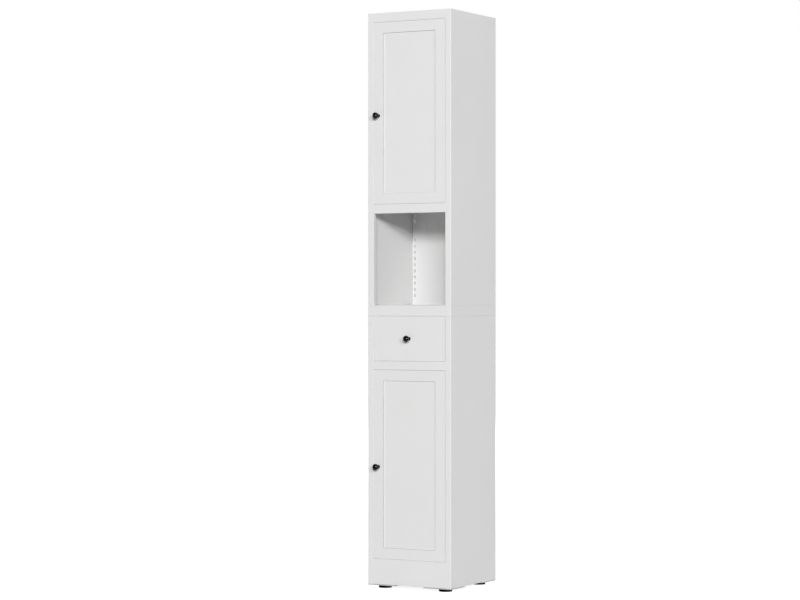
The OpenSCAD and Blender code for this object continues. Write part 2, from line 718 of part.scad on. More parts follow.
module ball_cage() color("dimgray") placed() at_runner(cage_y) {
    x = runner_sheet_t + running;
    difference() {
        along_y(cage_l) folded([[ball_x + ball_r, ball_z + cage_t / 2], [x, ball_z + cage_t / 2],
            [x, -ball_z - cage_t / 2], [ball_x + ball_r, -ball_z - cage_t / 2]], cage_t);
        for (k = [1:ball_count]) translate([ball_x, (k - 0.5) * ball_pitch, -runner_h])
            cylinder(h = 2 * runner_h, r = ball_r + screw_play, $fn = round_fn);
    }
    for (k = [1:ball_count], z = [-ball_z, ball_z]) translate([ball_x, (k - 0.5) * ball_pitch, z])
        sphere(r = ball_r, $fn = round_fn);
}

// Hat section that carries the outer member on the wall
module runner_bracket() color("whitesmoke") placed() at_runner(runner_y) along_y(runner_l) {
    h = hat_h / 2;
    web = -sheet_t;
    wall = runner_x + seat - wall_x;
    folded([[wall, h + hat_foot], [wall, h], [web, h], [web, -h], [wall, -h], [wall, -h - hat_foot]]);
}

module left_runner_outer() runner_outer();
module right_runner_outer() mirror([1, 0, 0]) runner_outer();
module left_runner_inner() runner_inner();
module right_runner_inner() mirror([1, 0, 0]) runner_inner();
module left_ball_cage() ball_cage();
module right_ball_cage() mirror([1, 0, 0]) ball_cage();
module left_runner_bracket() runner_bracket();
module right_runner_bracket() mirror([1, 0, 0]) runner_bracket();

// Fasteners
module at_joints(z) both_sides() for (y = join_ys) translate([join_x, y, z]) children();

module joining_bolts() color("silver") placed() at_joints(z_seam + 2 * sheet_t)
    screw(bolt_r, 3 * sheet_t + bolt_tail, bolt_head_r, bolt_head_h);

module joining_nuts() color("silver") placed() at_joints(z_seam - sheet_t - bolt_nut_h)
    nut(bolt_nut_w, bolt_nut_h, bolt_r + thread_play);

module body_screws() color("silver") placed() {
    at_joints(z_cap - sheet_t) mirror([0, 0, 1])
        screw(screw_r, 2 * sheet_t + screw_tail, screw_head_r, screw_head_h);
    for (z = [z_header_top, z_deck]) at_catch(z + catch_ear_h) for (x = [-catch_screw_x, catch_screw_x])
        translate([x, 0, 0]) screw(screw_r, catch_ear_h + sheet_t + screw_tail, screw_head_r, screw_head_h);
    both_sides() for (z = concat(upper_screw_levels, lower_screw_levels))
        translate([rear_flange / 2 - half_w, body_d, z]) rotate([-90, 0, 0])
            screw(screw_r, 2 * sheet_t + seat + screw_tail, screw_head_r, screw_head_h);
}

upper_left_side();
upper_right_side();
upper_back();
top_panel();
niche_header();
niche_floor();
lower_left_side();
lower_right_side();
lower_back();
lower_cap();
drawer_divider();
base_panel();
front_left_foot_plate();
front_right_foot_plate();
rear_left_foot_plate();
rear_right_foot_plate();
foot_nuts();
front_left_foot();
front_right_foot();
rear_left_foot();
rear_right_foot();
upper_hinge_pins();
lower_hinge_pins();
catch_housings();
catch_magnets();
upper_shelf();
upper_shelf_brackets();
lower_shelf();
lower_shelf_brackets();
upper_door();
upper_door_stiffener();
upper_door_hinge_blocks();
upper_door_knob();
upper_door_knob_screw();
lower_door();
lower_door_stiffener();
lower_door_hinge_blocks();
lower_door_knob();
lower_door_knob_screw();
drawer_front();
drawer_tray();
drawer_knob();
drawer_knob_screw();
drawer_screws();
left_runner_outer();
right_runner_outer();
left_ball_cage();
right_ball_cage();
left_runner_inner();
right_runner_inner();
left_runner_bracket();
right_runner_bracket();
joining_bolts();
joining_nuts();
body_screws();
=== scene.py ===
# %% [markdown]
# A tall steel cabinet, part 1: the frame.
# The cabinet is folded from thin white sheet: an upper part with a door and an open niche stands on a lower part with
# a drawer and a door. Its exact solids come packed, with their places and joints, so this lesson loads them first and
# never moves them. What it adds is the finish of every surface, and smooth meshes where the solids are too plain.

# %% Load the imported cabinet
import json
import bpy
import numpy as np
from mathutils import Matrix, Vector


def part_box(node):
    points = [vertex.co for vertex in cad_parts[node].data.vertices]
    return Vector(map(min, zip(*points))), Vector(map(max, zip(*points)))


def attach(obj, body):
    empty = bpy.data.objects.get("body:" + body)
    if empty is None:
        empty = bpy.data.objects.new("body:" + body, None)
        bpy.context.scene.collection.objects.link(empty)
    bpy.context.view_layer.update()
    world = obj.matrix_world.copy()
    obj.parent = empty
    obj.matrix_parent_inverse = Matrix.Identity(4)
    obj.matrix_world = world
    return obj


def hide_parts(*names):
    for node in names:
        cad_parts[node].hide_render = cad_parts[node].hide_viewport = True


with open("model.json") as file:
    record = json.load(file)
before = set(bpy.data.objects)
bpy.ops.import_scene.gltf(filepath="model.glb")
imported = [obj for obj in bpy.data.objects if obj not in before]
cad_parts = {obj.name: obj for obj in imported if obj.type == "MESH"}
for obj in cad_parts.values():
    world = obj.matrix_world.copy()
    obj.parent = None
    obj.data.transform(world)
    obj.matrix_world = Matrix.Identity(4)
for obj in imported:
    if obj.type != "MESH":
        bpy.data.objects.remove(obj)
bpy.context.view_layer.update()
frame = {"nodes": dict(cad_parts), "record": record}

MM = 0.001

# %% [markdown]
# The sizes that the new pieces share with the solids, in millimetres, as a maker would write them on the drawing.
# A piece takes its place from the box of the solid that it stands for, so only thicknesses and radii are written here.

# %% Sizes of the sheet metal
SHEET = 1.0
# Radii of a fold, outside and inside
FOLD_OUTSIDE, FOLD_INSIDE = 0.5, 0.2
# Depth of a door or drawer front, and width of the lip behind its edge
FRONT_DEPTH, FRONT_LIP = 15.0, 13.0
# Pressed panel: width of the rim round it, its depth, and how far its wall leans over that depth
PANEL_FRAME, PANEL_DEPTH, PANEL_SLOPE = 34.0, 4.0, 0.3
# Radii of that wall at the rim and at the panel, and how much of the sheet's thickness it keeps
PANEL_EDGE, PANEL_FOOT, PANEL_WALL = 0.5, 0.4, 0.8


def box_mm(node):
    """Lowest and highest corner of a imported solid, in millimetres."""
    low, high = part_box(node)
    return np.array(low) / MM, np.array(high) / MM


FACE_Y = box_mm("upper_door")[0][1]
print("front face at y =", round(FACE_Y, 2), "mm")

# %% [markdown]
# The camera. The photograph is taken from the front right, level and from far away, so the verticals stay upright.
# A long lens at 7.6 m gives the same small convergence as the photograph, and the turn of 29.5 degrees the same widths.

# %% Camera at the photograph's angle
PHOTO_WIDTH, FOCAL_PIXELS, SENSOR_WIDTH = 800, 2444.0, 36.0
YAW = np.radians(29.51)
# Place of the lens in millimetres: to the right of the middle, before the fronts, and above the floor
CAMERA_RIGHT, CAMERA_BEFORE, CAMERA_UP = 3715.8, 6621.7, 902.6

camera = bpy.data.objects.new("camera", bpy.data.cameras.new("camera"))
camera.data.sensor_width = SENSOR_WIDTH
camera.data.lens = FOCAL_PIXELS * SENSOR_WIDTH / PHOTO_WIDTH
camera.data.clip_end = 200.0
camera.location = Vector((CAMERA_RIGHT, FACE_Y - CAMERA_BEFORE, CAMERA_UP)) * MM
camera.rotation_euler = (np.pi / 2, 0, YAW)
bpy.context.scene.collection.objects.link(camera)
bpy.context.scene.camera = camera
print("lens", round(camera.data.lens, 1), "mm")

# %% [markdown]
# Materials are graphs of nodes. One helper makes a graph from short lines: each new node gets its settings by name, and
# an input is either a number or the output of another node. Every pattern reads Object coordinates, which are metres
# here, because each piece keeps its place in its mesh.

# %% A helper for shader graphs
class Graph:
    """Shader graph of one material, with a Principled shader already joined to its output."""

    def __init__(self, name, **constants):
        self.material = bpy.data.materials.new(name)
        self.material.use_nodes = True
        self.nodes = self.material.node_tree.nodes
        self.links = self.material.node_tree.links
        self.shader = self.nodes["Principled BSDF"]
        for socket, value in constants.items():
            self.set(self.shader, socket.replace("_", " "), value)
        self.place = self.add("ShaderNodeTexCoord").outputs["Object"]

    def set(self, node, socket, value):
        """Joins an output to a socket, or writes a plain value on it."""
        if isinstance(value, bpy.types.NodeSocket):
            self.links.new(value, node.inputs[socket])
        else:
            node.inputs[socket].default_value = value

    def add(self, kind, settings=None, **sockets):
        """New node with its settings and its sockets, where an underscore stands for a space."""
        node = self.nodes.new(kind)
        for key, value in (settings or {}).items():
            setattr(node, key, value)
        for socket, value in sockets.items():
            self.set(node, int(socket[1:]) if socket[1:].isdigit() else socket.replace("_", " "), value)
        return node

    def stretch(self, scale):
        """Object coordinates, squeezed by a factor along each axis."""
        return self.add("ShaderNodeMapping", Vector=self.place, Scale=scale).outputs["Vector"]

    def noise(self, scale, detail=2.0, vector=None, roughness=0.5):
        """Soft random pattern with the given number of lumps in a metre."""
        return self.add("ShaderNodeTexNoise", Vector=vector or self.place, Scale=scale, Detail=detail,
                        Roughness=roughness).outputs["Fac"]

    def span(self, value, low, high, start=0.3, end=0.7):
        """Turns a pattern's values from start to end into numbers from low to high."""
        return self.add("ShaderNodeMapRange", Value=value, From_Min=start, From_Max=end, To_Min=low,
                        To_Max=high).outputs["Result"]

    def blend(self, factor, one, two):
        """Colour between two colours."""
        node = self.add("ShaderNodeMix", {"data_type": "RGBA"})
        self.set(node, 0, factor)
        self.set(node, 6, one)
        self.set(node, 7, two)
        return node.outputs[2]

    def bump(self, height, distance, strength, under=None):
        """Normal that a height pattern gives, over another normal if there is one."""
        node = self.add("ShaderNodeBump", Height=height, Distance=distance, Strength=strength)
        if under:
            self.set(node, "Normal", under)
        return node.outputs["Normal"]

    def finish(self, **sockets):
        """Joins the last outputs to the shader and gives the material."""
        for socket, value in sockets.items():
            self.set(self.shader, socket.replace("_", " "), value)
        return self.material


def grey(value, tint=(0, 0, 0)):
    """Nearly neutral colour with an alpha of one."""
    return (value + tint[0], value + tint[1], value + tint[2], 1.0)


print("graph helper ready")

# %% [markdown]
# White powder coat. Powder is sprayed dry and melts into a skin that is never quite flat: it has the gentle orange peel
# of small lumps a millimetre or two wide, a finer grain on top, and a gloss that wanders a little over a whole panel.
# All three are noise at the real scale, as bump and as roughness, and the colour moves by a percent or two. The steep
# walls of a pressed panel get painted shade: their colour is painted greyer, so the recess's edge reads as a dark line.
# Those pieces carry an attribute named painted_wall_shade that says where, and solids without it read zero.

# %% Powder coat
# How many of each there are in a metre: lumps of the peel, grains, slow drifts of the gloss and handled patches
PEEL_LUMPS, FINE_GRAINS, SLOW_DRIFTS, HANDLED = 650.0, 3800.0, 4.5, 38.0


def powder_coat(name, white, rough=0.54, peel=0.16, wall_shade_grey=None):
    """Powder coat with orange peel, fine grain, wandering gloss and hardly any change of colour. Where the attribute
    painted_wall_shade is one, the colour goes to the grey wall_shade_grey: a painted shade on the pressed walls."""
    coat = Graph(name, Specular_IOR_Level=0.3)
    lumps = coat.noise(PEEL_LUMPS, 2.0)
    grain = coat.noise(FINE_GRAINS, 1.0)
    drift = coat.noise(SLOW_DRIFTS, 3.0)
    handled = coat.noise(HANDLED, 4.0, roughness=0.6)
    shade = coat.blend(coat.span(drift, 0.0, 1.0), grey(white * 0.985, (0, 0, -0.004)), grey(white))
    gloss = coat.add("ShaderNodeMath", {"operation": "ADD"}, _0=coat.span(handled, rough - 0.05, rough + 0.05),
                     _1=coat.span(drift, -0.02, 0.02)).outputs[0]
    # Painted shade: where the pressed walls are marked, the colour is painted greyer so the recess edge reads as a
    # shaded line
    if wall_shade_grey:
        walls = coat.add("ShaderNodeAttribute", {"attribute_name": "painted_wall_shade"}).outputs["Fac"]
        share = coat.add("ShaderNodeMath", {"operation": "MULTIPLY"}, _0=walls,
                         _1=coat.span(handled, 0.85, 1.0)).outputs[0]
        shade = coat.blend(share, shade, grey(wall_shade_grey))
    peel_normal = coat.bump(lumps, 0.0003, peel)
    return coat.finish(Base_Color=shade, Roughness=gloss, Normal=coat.bump(grain, 0.00006, 0.12, peel_normal))


body_white = powder_coat("body_white", 0.81)
# The fronts' pressed walls get a painted shade, a grey of 0.50
front_white = powder_coat("front_white", 0.81, rough=0.50, wall_shade_grey=0.50)
inner_white = powder_coat("inner_white", 0.80, rough=0.56, peel=0.2)
print("coats:", body_white.name, front_white.name, inner_white.name)

# %% [markdown]
# The corner plates under the body have a thinner, duller grey coat than the body, with the dust and scuffs of what is
# close to the floor.

# %% Grey coat of the corner plates
plate_coat = Graph("plate_grey", Specular_IOR_Level=0.4)
scuffs = plate_coat.noise(90.0, 6.0, plate_coat.stretch((1.0, 1.0, 3.0)), 0.7)
plate_grey = plate_coat.finish(
    Base_Color=plate_coat.blend(plate_coat.span(scuffs, 0.0, 1.0, 0.35, 0.75), grey(0.50), grey(0.42)),
    Roughness=plate_coat.span(scuffs, 0.45, 0.62),
    Normal=plate_coat.bump(plate_coat.noise(1400.0, 2.0), 0.0002, 0.15))
print("coat:", plate_grey.name)

# %% [markdown]
# Bright zinc on the screws, nuts, pins and runners. Zinc plate is a metal with a faint cloudiness and a little dull
# light of its own, and rolled or drawn steel keeps fine lines along the way it was drawn, so noise is squeezed along
# one axis to give those lines.

# %% Zinc plate and drawn steel
def zinc(name, value, lines=(1.0, 1.0, 1.0), rough=0.32, cloud=0.06):
    """Metal with cloudy brightness and fine lines; the axis with the small factor is the way the lines run."""
    metal = Graph(name, Metallic=0.8)
    drawn = metal.noise(2600.0, 3.0, metal.stretch(lines), 0.6)
    clouds = metal.noise(220.0, 3.0)
    return metal.finish(
        Base_Color=metal.blend(metal.span(clouds, 0.0, 1.0), grey(value - cloud, (0, 0.004, 0.012)), grey(value)),
        Roughness=metal.span(drawn, rough - 0.08, rough + 0.12),
        Normal=metal.bump(drawn, 0.00004, 0.2))


fastener_zinc = zinc("fastener_zinc", 0.66)
pin_steel = zinc("pin_steel", 0.60, (1.0, 1.0, 0.05), 0.25)
runner_zinc = zinc("runner_zinc", 0.62, (1.0, 0.03, 1.0), 0.30)
cage_steel = zinc("cage_steel", 0.45, (1.0, 0.05, 1.0), 0.36, 0.1)
print("metals:", fastener_zinc.name, pin_steel.name, runner_zinc.name, cage_steel.name)

# %% [markdown]
# Plastics. The knobs are black and polished, so they show the lights as small sharp spots; the pads of the feet are
# black with the fine grain of a matt mould. The hinge blocks are natural nylon, a little milky, and the catches hold
# a dull, dark magnet.

# %% Plastics and the magnet
def moulded(name, colour, rough, grain_size, grain_depth, **constants):
    """Moulded plastic: even colour with a trace of flow marks, and the grain that the mould's wall leaves."""
    plastic = Graph(name, **constants)
    flow = plastic.noise(70.0, 3.0, plastic.stretch((1.0, 1.0, 0.4)))
    grain = plastic.add("ShaderNodeTexVoronoi", Vector=plastic.place,
                        Scale=1.0 / (grain_size * MM)).outputs["Distance"]
    darker = tuple(0.9 * part for part in colour[:3]) + (1.0,)
    return plastic.finish(Base_Color=plastic.blend(plastic.span(flow, 0.0, 1.0), darker, colour),
                          Roughness=plastic.span(flow, rough - 0.03, rough + 0.04),
                          Normal=plastic.bump(grain, grain_depth * MM, 0.3))


knob_black = moulded("knob_black", grey(0.0012), 0.11, 1.6, 0.004, Specular_IOR_Level=0.4)
foot_black = moulded("foot_black", grey(0.002), 0.7, 0.5, 0.05, Specular_IOR_Level=0.08)
nylon = moulded("nylon", grey(0.70, (0, -0.01, -0.04)), 0.44, 0.8, 0.02, Subsurface_Weight=0.15,
                Subsurface_Scale=0.002)
catch_white = moulded("catch_white", grey(0.76), 0.36, 0.9, 0.02)
magnet_dark = moulded("magnet_dark", grey(0.06), 0.6, 0.35, 0.04, Metallic=0.4)
print("plastics:", knob_black.name, foot_black.name, nylon.name, catch_white.name, magnet_dark.name)

# %% [markdown]
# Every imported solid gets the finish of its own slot. The slots come with the record, so a new node can't be forgotten.

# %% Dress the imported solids
FINISH = {
    "body": body_white, "fronts": front_white, "inner_steel": inner_white, "corner_plates": plate_grey,
    "feet": foot_black, "knobs": knob_black, "fasteners": fastener_zinc, "hinge_pins": pin_steel,
    "hinge_blocks": nylon, "runners": runner_zinc, "ball_cages": cage_steel, "catch_housings": catch_white,
    "catch_magnets": magnet_dark,
}
SLOT = {part["node"]: part["material_slot"] for part in frame["record"]["subparts"]}
for name, node in frame["nodes"].items():
    node.data.materials.clear()
    node.data.materials.append(FINISH[SLOT[name]])
print("dressed", len(SLOT), "solids in", len(set(SLOT.values())), "finishes")

# %% [markdown]
# Meshes are computed as whole arrays of points. A grid of points has rows along one parameter and columns along the
# other, and one helper gives the faces of such a grid.

# %% Grids of points
def faces_of_grid(rows, columns, closed):
    """Four-sided faces of a grid of points, row after row; a closed grid joins its last column to its first."""
    row, column = np.meshgrid(np.arange(rows - 1), np.arange(columns if closed else columns - 1), indexing="ij")
    here, right = row * columns + column, row * columns + (column + 1) % columns
    return np.stack([here, right, right + columns, here + columns], -1).reshape(-1, 4)


def mesh_piece(name, points, faces, material):
    """New object in the scene with that mesh, at the origin."""
    mesh = bpy.data.meshes.new(name)
    mesh.from_pydata(points.reshape(-1, 3).tolist(), [], [list(map(int, face)) for face in faces])
    mesh.materials.append(material)
    mesh.polygons.foreach_set("use_smooth", [True] * len(mesh.polygons))
    piece = bpy.data.objects.new(name, mesh)
    bpy.context.scene.collection.objects.link(piece)
    return piece


print("a grid of 3 x 4 points has", len(faces_of_grid(3, 4, True)), "faces when it is closed")

# %% [markdown]
# The floor. In the photograph it is burnt out to plain white, with hardly a shadow. The disc is a dull white that takes
# soft shadows and throws light back on the cabinet, and it glows a little for the camera alone, so it reaches white
# everywhere but close under the body, and no horizon cuts the picture.

# %% Pale floor without a horizon
FLOOR_RADIUS, FLOOR_RINGS, FLOOR_AROUND, FLOOR_DROP = 90.0, 24, 96, 0.0002
FLOOR_GREYS = grey(0.50), grey(0.52)
# The glow grows from its share beside the cabinet to one, between two distances in metres
FLOOR_GLOW, GLOW_START, GLOW_END = 0.90, 1.0, 4.0


def disc(radius, rings, around):
    """Points of a flat disc: the radius grows with the square of the ring's number, so the middle is finer."""
    share = np.linspace(0.02, 1.0, rings) ** 2
    angle = np.linspace(0, 2 * np.pi, around, endpoint=False)
    ring = share[:, None] * radius
    return np.stack([ring * np.cos(angle), ring * np.sin(angle), 0 * ring * angle], -1)


floor_graph = Graph("floor_white", Roughness=0.9, Specular_IOR_Level=0.0, Emission_Color=grey(1.0))
seen = floor_graph.add("ShaderNodeLightPath").outputs["Is Camera Ray"]
distance = floor_graph.add("ShaderNodeVectorMath", {"operation": "LENGTH"}, Vector=floor_graph.place).outputs["Value"]
glow = floor_graph.span(distance, FLOOR_GLOW, 1.0, GLOW_START, GLOW_END)
floor_white = floor_graph.finish(
    Base_Color=floor_graph.blend(floor_graph.span(floor_graph.noise(0.6, 2.0), 0.0, 1.0), *FLOOR_GREYS),
    Emission_Strength=floor_graph.span(seen, 0.0, glow, 0.0, 1.0))
middle_ring = [list(range(FLOOR_AROUND - 1, -1, -1))]
floor = mesh_piece("floor", disc(FLOOR_RADIUS, FLOOR_RINGS, FLOOR_AROUND),
                   list(faces_of_grid(FLOOR_RINGS, FLOOR_AROUND, True)) + middle_ring, floor_white)
floor.location.z = -FLOOR_DROP
print("floor", len(floor.data.polygons), "faces")

# %% [markdown]
# Studio light, read from the photograph's shadows. On the niche's back the header's shadow is full down to a tenth of
# its height and gone at a third, so all the light from the front stands 7 to 17 degrees above the niche, and its boxes
# are low. The back is lit right up to where the stile hides it, so the key stands close to the camera. The left wall is
# bright too, which takes light from further round: a wide, low strip, whose shadows are too soft to see beside the
# knobs. The niche is dark under its header, so hardly any light comes from all round. The right side gets a weak box of
# its own, and three more light the left side, the back and the top for the other views.

# %% Sky and soft boxes
SKY_ON_CABINET = 0.04

world = bpy.data.worlds.new("studio")
world.use_nodes = True
sky, sky_links = world.node_tree.nodes, world.node_tree.links
sky["Background"].inputs["Color"].default_value = grey(1.0)
sky_seen = sky.new("ShaderNodeMapRange")
sky_seen.inputs["To Min"].default_value = SKY_ON_CABINET
sky_seen.inputs["To Max"].default_value = 1.0
sky_links.new(sky.new("ShaderNodeLightPath").outputs["Is Camera Ray"], sky_seen.inputs["Value"])
sky_links.new(sky_seen.outputs["Result"], sky["Background"].inputs["Strength"])
bpy.context.scene.world = world
bpy.context.scene.view_settings.view_transform = "Standard"

# Height in metres that the boxes look at, and for each box azimuth, elevation, distance, width, height and watts
LIT_HEIGHT = 1.0
SOFT_BOXES = {
    "key": (26, 13, 20.0, 3.0, 2.5, 1980.0),
    "strip": (42, 12, 20.0, 8.5, 3.5, 1760.0),
    "right": (112, 8, 10.0, 4.0, 4.0, 150.0),
    "left": (-100, 12, 10.0, 4.0, 4.0, 380.0),
    "back": (192, 16, 10.0, 4.0, 4.0, 560.0),
    "top": (60, 82, 8.0, 3.0, 3.0, 90.0),
}


def soft_box(name, azimuth, elevation, distance, width, height, watts):
    """Oblong lamp that looks at the middle of the cabinet. Azimuth is counted in degrees from the front to the right,
    elevation upwards, distance and size in metres."""
    turn, rise = np.radians(azimuth), np.radians(elevation)
    away = Vector((np.cos(rise) * np.sin(turn), -np.cos(rise) * np.cos(turn), np.sin(rise)))
    lamp = bpy.data.objects.new(name, bpy.data.lights.new(name, "AREA"))
    lamp.data.shape = "RECTANGLE"
    lamp.data.size, lamp.data.size_y = width, height
    lamp.data.energy = watts
    lamp.location = away * distance + Vector((0, 0, LIT_HEIGHT))
    lamp.rotation_euler = away.to_track_quat("Z", "Y").to_euler()
    bpy.context.scene.collection.objects.link(lamp)
    return lamp


for name, setting in SOFT_BOXES.items():
    soft_box(name, *setting)
print(len(SOFT_BOXES), "soft boxes set")

# %% [markdown]
# New pieces are surfaces worked out with numpy. Where a sheet is folded or a bar is turned, the outline is first
# written with sharp corners, and one helper rounds them. It also sets a point close to each rounding, so that flat
# faces stay flat in the shading.

# %% Rounded outlines
def rounded(points, radii, steps=5, guard=0.3):
    """Outline with its inner corners rounded: at a corner the two sides are cut back by radius x tan(half the turn),
    and an arc of even steps joins the cuts. A guard point stands a little before and after each arc."""
    points = np.asarray(points, float)
    out = [points[:1]]
    for before, corner, after, radius in zip(points[:-2], points[1:-1], points[2:], radii):
        into, away = corner - before, after - corner
        long_in, long_away = np.linalg.norm(into), np.linalg.norm(away)
        into, away = into / long_in, away / long_away
        turn = np.arctan2(into[0] * away[1] - into[1] * away[0], into @ away)
        if radius == 0 or abs(turn) < 1e-6:
            out.append(corner[None])
            continue
        cut = min(radius * abs(np.tan(turn / 2)), 0.45 * long_in, 0.45 * long_away)
        radius = cut / abs(np.tan(turn / 2))
        start, side = corner - into * cut, np.sign(turn) * np.array([-into[1], into[0]])
        angle = np.linspace(0, abs(turn), steps + 1)[:, None]
        arc = start + radius * (np.sin(angle) * into + (1 - np.cos(angle)) * side)
        near = min(guard, 0.4 * cut + 0.05, 0.05 * long_in + 0.02)
        out += [start[None] - into * near, arc, arc[-1:] + away * near]
    out.append(points[-1:])
    return np.concatenate(out)


print("a square corner becomes", len(rounded([(0, 0), (10, 0), (10, 10)], [2])), "points")

# %% [markdown]
# A grid of points becomes a solid piece when its columns go all the way round and its two ends get a flat face each.
# The faces have to point outwards, and the sign of the volume that they enclose tells whether they do. A set of like
# screws is one piece made of many such solids.

# %% Grids into closed pieces
def closed_mesh(grid):
    """Points and faces of a solid from a grid whose columns go round: its first and last rows are filled with one flat
    face each, and all faces are turned over if the volume that they enclose comes out negative."""
    rows, columns = grid.shape[:2]
    points = grid.reshape(-1, 3)
    faces = faces_of_grid(rows, columns, True)
    ends = [np.arange(columns)[::-1], (rows - 1) * columns + np.arange(columns)]
    first, second, third, fourth = (points[faces[:, k]] for k in range(4))
    volume = np.sum(first * np.cross(second, third)) + np.sum(first * np.cross(third, fourth))
    for end in ends:
        ring = points[end]
        volume += np.sum(ring[0] * np.cross(ring[1:-1], ring[2:]))
    step = 1 if volume > 0 else -1
    return points, [face[::step] for face in faces] + [end[::step] for end in ends]


def new_piece(name, meshes, material, body, nodes=()):
    """One piece from several (points, faces) pairs in millimetres, such as a set of like screws. It rides on the body,
    fills the slot and stands for the nodes."""
    starts = np.cumsum([0] + [len(points) for points, _ in meshes[:-1]])
    faces = [face + start for start, (_, group) in zip(starts, meshes) for face in group]
    piece = mesh_piece(name, np.concatenate([points for points, _ in meshes]) * MM, faces, material)
    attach(piece, body)
    if nodes:
        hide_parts(*nodes)
    return piece


print("a cube's grid gives", len(closed_mesh(np.array([
    [(0, 0, z), (1, 0, z), (1, 1, z), (0, 1, z)] for z in (0.0, 1.0)]))[1]), "faces")

# %% [markdown]
# Doors and drawer front. On the real cabinet each is one sheet: the panel is pressed in, the four edges are folded
# back, and narrow lips are folded in behind. It could be a cube with bevels, but a folded pan is a stack of nested
# rectangles: a profile says how far each loop lies inside the outer edge and how deep, and the loop goes round the door
# there. The profile starts on the middle of the panel, comes out over the pressed edge and the rim, goes round the lip
# and returns along the inside, so the sheet has its true thickness everywhere.

# %% Nested rectangles
# Radius of a rectangle's corners at each inset: soft outside, close at the edge, and softer again round the panel
PAN_CORNER = [(0, 1.6), (1.5, 0.5), (30, 0.5), (33.2, 2.6), (34.5, 1.6), (60, 1.0)]
CORNER_POINTS, CORNER_GUARD = 6, 0.4


def nested(low, high, profile, corner):
    """Grid of rectangles inside one another: row k is a rectangle from low to high, drawn in by the profile's inset k,
    at the depth k, with its corners rounded by the radius that the table corner (inset, radius) gives there."""
    inset, depth = profile[:, 0], profile[:, 1]
    radius = np.interp(inset, *np.transpose(corner))
    angle = np.linspace(0, np.pi / 2, CORNER_POINTS)
    turn = np.concatenate([angle[:1], angle, angle[-1:]])
    slide = np.zeros_like(turn)
    slide[0], slide[-1] = -CORNER_GUARD, CORNER_GUARD
    width, height = high[0] - low[0] - 2 * inset, high[1] - low[1] - 2 * inset
    quarters = []
    for k, (sign_u, sign_v) in enumerate([(1, -1), (1, 1), (-1, 1), (-1, -1)]):
        heading = turn + (k - 1) * np.pi / 2
        u = sign_u * (width / 2 - radius)[:, None] + radius[:, None] * np.cos(heading) - slide * np.sin(heading)
        v = sign_v * (height / 2 - radius)[:, None] + radius[:, None] * np.sin(heading) + slide * np.cos(heading)
        quarters.append(np.stack([u, v], -1))
    flat = np.concatenate(quarters, 1) + (np.asarray(low) + np.asarray(high)) / 2
    return np.concatenate([flat, np.broadcast_to(depth[:, None, None], flat.shape[:2] + (1,))], -1)


print("a rectangle has", 4 * (CORNER_POINTS + 2), "points")

# %% [markdown]
# The pan's own profile. It goes once through the thickness of the sheet and back, with every fold rounded. The pressed
# wall is written a little thinner than the sheet, as it is where a press stretches it.

# %% Folded pans
# Radius of the sheet's cut edges, and the inset where the profile starts and ends, in the middle of the face
CUT_EDGE, PAN_MIDDLE = 0.3, 60.0
# How far the powder builds up on the upper and lower edges, and how much of the wall's bends the painted shade leaves
# out
COAT_BUILD, WALL_SHADE_BEND = 0.15, 0.12


def pan_profile(recessed):
    """Inset and depth of a folded pan, from the middle of its face round the lip to the middle of its back."""
    rim, foot = PANEL_FRAME, PANEL_FRAME + PANEL_SLOPE
    edge = [(0, 0), (0, FRONT_DEPTH), (FRONT_LIP, FRONT_DEPTH), (FRONT_LIP, FRONT_DEPTH - SHEET),
            (SHEET, FRONT_DEPTH - SHEET), (SHEET, SHEET)]
    radii = [FOLD_OUTSIDE, FOLD_OUTSIDE, CUT_EDGE, CUT_EDGE, FOLD_INSIDE, FOLD_INSIDE]
    if not recessed:
        return rounded([(PAN_MIDDLE, 0)] + edge + [(PAN_MIDDLE, SHEET)], radii)
    wall = PANEL_WALL * SHEET
    pressed = [(PAN_MIDDLE, PANEL_DEPTH), (foot, PANEL_DEPTH), (rim, 0)]
    back = [(rim - wall, SHEET), (foot - wall, PANEL_DEPTH + SHEET), (PAN_MIDDLE, PANEL_DEPTH + SHEET)]
    return rounded(pressed + edge + back, [PANEL_FOOT, PANEL_EDGE] + radii + [PANEL_FOOT, PANEL_EDGE])


def front_pan(node, body, recessed):
    """Pan in place of a door's or the drawer front's solid. The powder builds up on its upper and lower edges, so the
    gaps there are finer. The pressed walls are marked for painted shade: one between the rim and the panel, zero on
    both."""
    low, high = box_mm(node)
    low[2], high[2] = low[2] - COAT_BUILD, high[2] + COAT_BUILD
    profile = pan_profile(recessed)
    grid = nested(low[[0, 2]], high[[0, 2]], profile, PAN_CORNER)
    grid = np.stack([grid[..., 0], FACE_Y + grid[..., 2], grid[..., 1]], -1)
    pan = new_piece(node + "_pan", [closed_mesh(grid)], front_white, body, [node])
    if recessed:
        inset, depth = profile[:, 0], profile[:, 1]
        # Painted shade: this marks the pressed walls whose colour the coat paints greyer
        wall = np.interp(depth, [0, WALL_SHADE_BEND, PANEL_DEPTH - WALL_SHADE_BEND, PANEL_DEPTH], [0, 1, 1, 0])
        wall *= np.abs(inset - PANEL_FRAME) < 2
        painted_wall_shade = pan.data.attributes.new("painted_wall_shade", "FLOAT", "POINT")
        painted_wall_shade.data.foreach_set("value", np.repeat(wall, grid.shape[1]))
    return pan


for node, body, recessed in (("upper_door", "upper_door", True), ("lower_door", "lower_door", True),
                             ("drawer_front", "drawer", False)):
    print(node, len(front_pan(node, body, recessed).data.polygons), "faces")

# %% [markdown]
# The cap of the lower part is folded in the same way, but it faces up: its skirts hang over the top of the lower part
# and turn in under it. Its long folds are soft, so a fine groove runs round the cabinet where the upper part stands on
# it, and a finer one where the skirts end. The same nested rectangles give it, seen from above.

# %% Cap with its skirts
CAP_FOLD, CAP_RETURN, CAP_MIDDLE = 1.2, 15.0, 130.0


